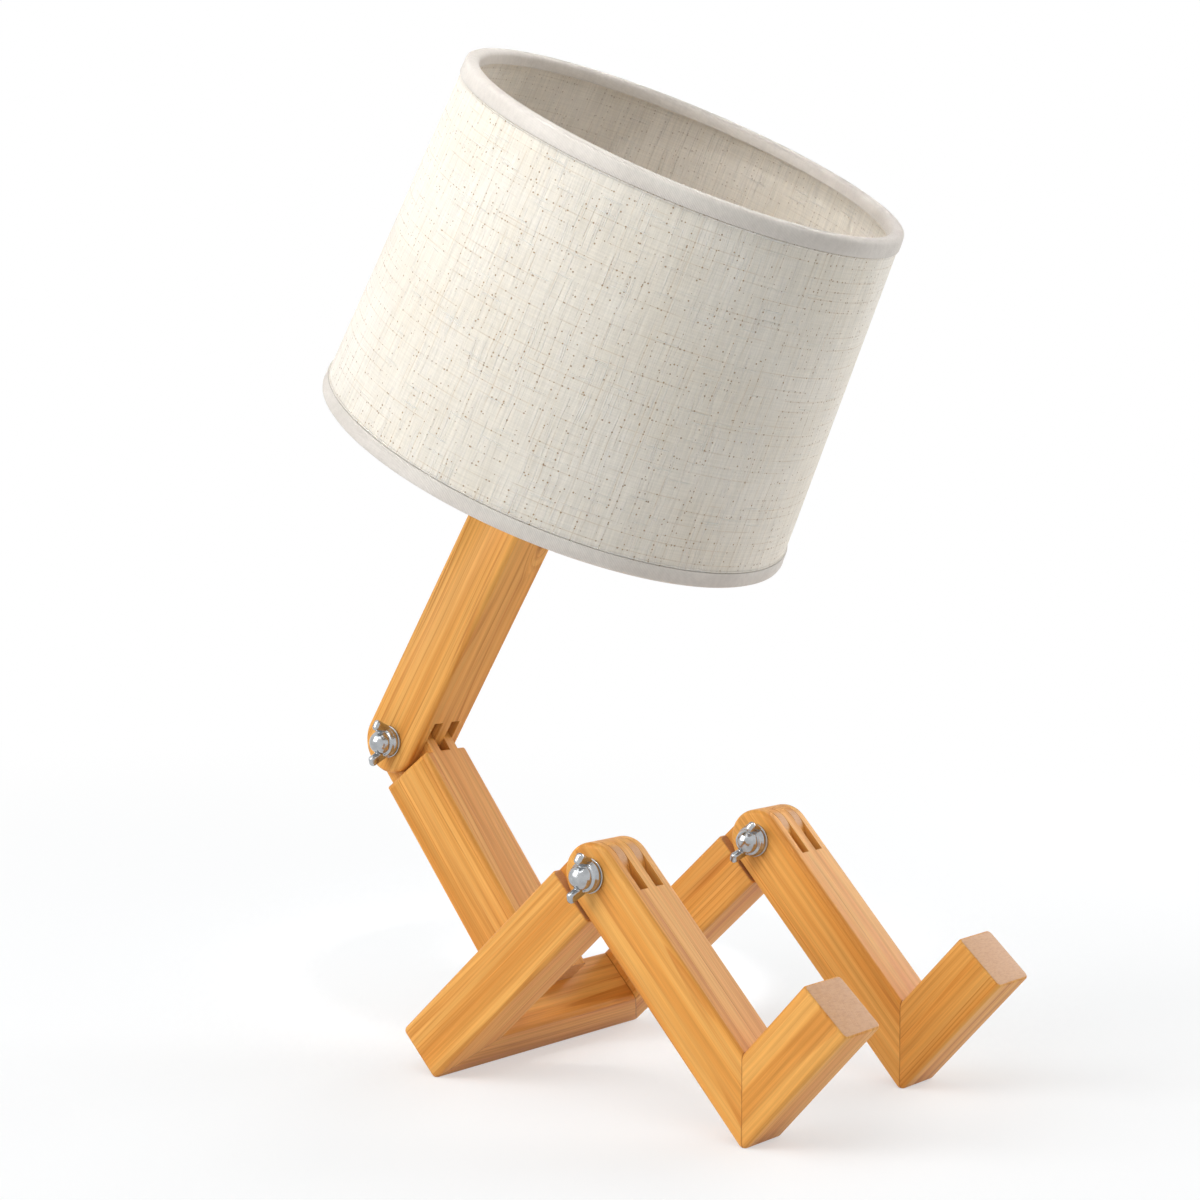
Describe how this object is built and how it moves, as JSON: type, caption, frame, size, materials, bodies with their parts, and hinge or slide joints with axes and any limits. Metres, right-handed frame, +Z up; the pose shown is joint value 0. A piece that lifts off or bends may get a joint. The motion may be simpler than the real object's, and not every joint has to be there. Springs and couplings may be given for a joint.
{
  "type": "robot desk lamp",
  "caption": "Jointed wooden desk lamp shaped like a seated robot: finger hinges with wing nuts at knees and waist, and a linen drum shade for a head",
  "frame": {"origin": "middle of the bounding box on the floor plane", "axes": "the figure faces -Y, its right hand is -X, Z is up"},
  "size_m": [0.2062, 0.2851, 0.4201],
  "materials": {
    "wood": "satin clear oil over straight honey-coloured grain",
    "steel": "bright zinc plate",
    "wing_nut_metal": "polished plate",
    "holder_plastic": "black phenolic, satin",
    "white_insulator": "white moulded insulator",
    "brass": "plain brass",
    "shade_wire": "white powder coat",
    "linen": "cream slub linen",
    "lining": "beige lining cloth",
    "trim_tape": "warm grey woven tape",
    "bulb_metal": "rolled screw cap",
    "bulb_plastic": "white moulded body",
    "opal_globe": "opal white"
  },
  "bodies": {
    "seat": {"hip_rail": "wood", "thigh_right": "wood", "thigh_left": "wood", "hip_screws": "steel", "spine": "wood"},
    "leg_right": {"shin_right": "wood", "foot_right": "wood", "knee_bolt_right": "steel", "knee_washer_right": "steel"},
    "leg_left": {"shin_left": "wood", "foot_left": "wood", "knee_bolt_left": "steel", "knee_washer_left": "steel"},
    "nut_knee_right": {"knee_wing_nut_right": "wing_nut_metal"},
    "nut_knee_left": {"knee_wing_nut_left": "wing_nut_metal"},
    "nut_waist": {"waist_wing_nut": "wing_nut_metal"},
    "head": {"neck": "wood", "waist_bolt": "steel", "waist_washer": "steel", "lamp_nipple": "steel", "nipple_nut": "steel", "holder_cap": "holder_plastic", "holder_barrel": "holder_plastic", "holder_core": "white_insulator", "screw_shell": "brass", "centre_contact": "brass", "ring_nut": "holder_plastic", "shade_spider": "shade_wire", "shade_top_hoop": "shade_wire", "shade_bottom_hoop": "shade_wire", "shade_fabric": "linen", "shade_lining": "lining", "top_trim": "trim_tape", "bottom_trim": "trim_tape"},
    "bulb": {"bulb_cap": "bulb_metal", "bulb_body": "bulb_plastic", "bulb_globe": "opal_globe"},
    "switch": {"switch_knob": "holder_plastic"}
  },
  "joints": [
    {"name": "knee_right", "type": "hinge", "parent": "seat", "child": "leg_right", "pos_m": [-0.0565, -0.02571, 0.09291], "axis": [-1, 0, 0], "range_deg": [-3, 90]},
    {"name": "knee_left", "type": "hinge", "parent": "seat", "child": "leg_left", "pos_m": [0.0565, -0.02571, 0.09291], "axis": [-1, 0, 0], "range_deg": [-3, 90]},
    {"name": "waist", "type": "hinge", "parent": "seat", "child": "head", "pos_m": [0, 0.1283, 0.12491], "axis": [-1, 0, 0], "range_deg": [-25, 110]},
    {"name": "knee_nut_right_turn", "type": "hinge", "parent": "leg_right", "child": "nut_knee_right", "pos_m": [-0.069, -0.02571, 0.09291], "axis": [-1, 0, 0], "range_deg": [0, 720]},
    {"name": "knee_nut_left_turn", "type": "hinge", "parent": "leg_left", "child": "nut_knee_left", "pos_m": [0.044, -0.02571, 0.09291], "axis": [-1, 0, 0], "range_deg": [0, 720]},
    {"name": "waist_nut_turn", "type": "hinge", "parent": "head", "child": "nut_waist", "pos_m": [-0.014, 0.1283, 0.12491], "axis": [-1, 0, 0], "range_deg": [0, 720]},
    {"name": "bulb_unscrew", "type": "hinge", "parent": "head", "child": "bulb", "pos_m": [0, 0.04595, 0.26755], "axis": [0, -0.5, 0.866], "range_deg": [0, 720]},
    {"name": "switch_turn", "type": "hinge", "parent": "head", "child": "switch", "pos_m": [0, 0.0542, 0.25326], "axis": [1, 0, 0], "continuous": true}
  ]
}
